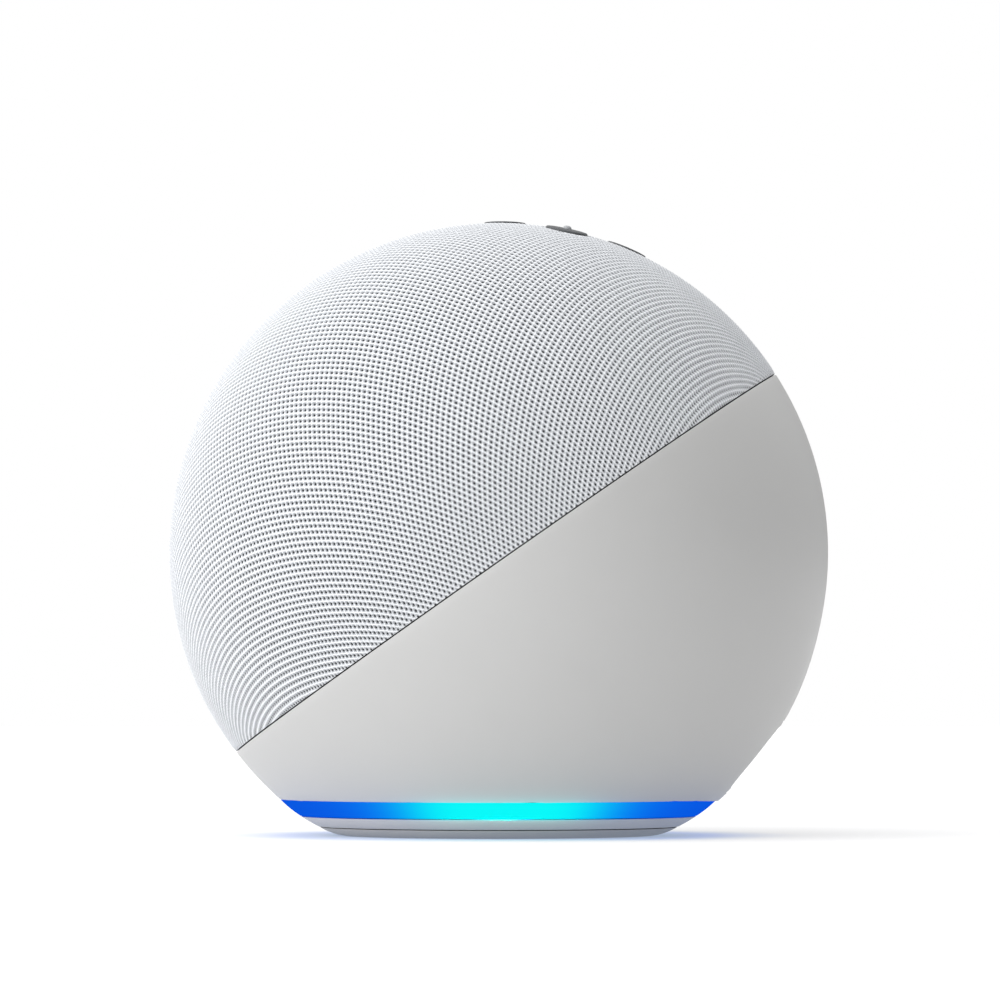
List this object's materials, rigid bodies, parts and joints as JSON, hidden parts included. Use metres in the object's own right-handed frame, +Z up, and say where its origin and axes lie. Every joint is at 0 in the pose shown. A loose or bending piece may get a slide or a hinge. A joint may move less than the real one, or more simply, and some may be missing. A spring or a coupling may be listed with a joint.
{
  "type": "smart speaker",
  "caption": "Ball-shaped smart speaker: tilted knit dome over a satin rear shell, lit ring at the foot, round top buttons, socket recess low on the back.",
  "frame": {"origin": "bottom centre of the object's box: under the middle of the foot, on the table", "axes": "+Z up; the front, where the fabric dome reaches lowest, is -Y; +X is the side of the action button"},
  "size_m": [0.144, 0.1439, 0.1343],
  "materials": {
    "white_knit": "open knit, matt",
    "satin_white_plastic": "fine satin moulding",
    "warm_grey_plastic": "satin moulding",
    "light_diffuser": "translucent, lit from inside",
    "grey_rubber": "matt rubber",
    "grey_button_plastic": "satin",
    "black_plastic": "moulded, matt",
    "black_rubber": "matt",
    "green_circuit_board": "solder mask",
    "zinc_plated_steel": "zinc plated",
    "tinned_sheet": "tinned",
    "cast_aluminium": "as cast",
    "brass": "machined",
    "nickel_plated_magnet": "nickel plated",
    "pressed_paper": "pressed paper",
    "spider_cloth": "resin-dipped cloth",
    "copper_winding": "enamelled copper wire on a former",
    "coated_silk": "coated silk",
    "white_cable": "PVC"
  },
  "bodies": {
    "root": {"acoustic_chamber": "black_plastic", "action_switch": "black_plastic", "audio_jack": "black_plastic", "base_housing": "warm_grey_plastic", "base_screw_1": "zinc_plated_steel", "base_screw_2": "zinc_plated_steel", "base_screw_3": "zinc_plated_steel", "base_screw_4": "zinc_plated_steel", "board_carrier": "black_plastic", "button_board": "green_circuit_board", "button_frame": "black_plastic", "chassis_screw_1": "zinc_plated_steel", "chassis_screw_2": "zinc_plated_steel", "chassis_screw_3": "zinc_plated_steel", "chassis_screw_4": "zinc_plated_steel", "fabric_cover": "white_knit", "foot_ring": "grey_rubber", "grille_shell": "black_plastic", "heat_sink": "cast_aluminium", "light_board": "green_circuit_board", "light_ring": "light_diffuser", "main_board": "green_circuit_board", "mute_switch": "black_plastic", "power_jack": "black_plastic", "radio_shield": "tinned_sheet", "rear_shell": "satin_white_plastic", "ribbon_cable": "white_cable", "seam_gasket": "black_rubber", "speaker_lead": "white_cable", "tripod_insert": "brass", "tweeter_left_faceplate": "black_plastic", "tweeter_left_motor": "nickel_plated_magnet", "tweeter_left_surround": "black_rubber", "tweeter_right_faceplate": "black_plastic", "tweeter_right_motor": "nickel_plated_magnet", "tweeter_right_surround": "black_rubber", "volume_down_switch": "black_plastic", "volume_up_switch": "black_plastic", "woofer_basket": "black_plastic", "woofer_gasket": "black_rubber", "woofer_magnet": "nickel_plated_magnet", "woofer_screw_1": "zinc_plated_steel", "woofer_screw_2": "zinc_plated_steel", "woofer_screw_3": "zinc_plated_steel", "woofer_screw_4": "zinc_plated_steel", "woofer_spider": "spider_cloth", "woofer_surround": "black_rubber", "woofer_top_plate": "zinc_plated_steel", "woofer_yoke": "zinc_plated_steel"},
    "volume_down": {"volume_down_button": "grey_button_plastic"},
    "volume_up": {"volume_up_button": "grey_button_plastic"},
    "action": {"action_button": "grey_button_plastic"},
    "mute": {"mute_button": "grey_button_plastic"},
    "cone": {"woofer_cone": "pressed_paper", "dust_cap": "pressed_paper", "voice_coil": "copper_winding"},
    "tweeter_left": {"tweeter_left_dome": "coated_silk"},
    "tweeter_right": {"tweeter_right_dome": "coated_silk"}
  },
  "joints": [
    {"name": "volume_down_press", "type": "slide", "parent": "root", "child": "volume_down", "axis": [0, -0.0192, -0.9998], "range_m": [0, 0.0005], "stiffness_N_per_m": 4000},
    {"name": "volume_up_press", "type": "slide", "parent": "root", "child": "volume_up", "axis": [0, -0.3891, -0.9212], "range_m": [0, 0.0005], "stiffness_N_per_m": 4000},
    {"name": "action_press", "type": "slide", "parent": "root", "child": "action", "axis": [-0.1323, -0.2061, -0.9696], "range_m": [0, 0.0005], "stiffness_N_per_m": 4000},
    {"name": "mute_press", "type": "slide", "parent": "root", "child": "mute", "axis": [0.1323, -0.2061, -0.9696], "range_m": [0, 0.0005], "stiffness_N_per_m": 4000},
    {"name": "cone_travel", "type": "slide", "parent": "root", "child": "cone", "axis": [0, -0.5736, 0.8192], "range_m": [-0.003, 0.003], "stiffness_N_per_m": 1250, "deforming": ["woofer_surround", "woofer_spider"]},
    {"name": "tweeter_left_travel", "type": "slide", "parent": "root", "child": "tweeter_left", "axis": [-0.866, -0.5, 0], "range_m": [-0.0003, 0.0003], "stiffness_N_per_m": 2000, "deforming": ["tweeter_left_surround"]},
    {"name": "tweeter_right_travel", "type": "slide", "parent": "root", "child": "tweeter_right", "axis": [0.866, -0.5, 0], "range_m": [-0.0003, 0.0003], "stiffness_N_per_m": 2000, "deforming": ["tweeter_right_surround"]}
  ]
}
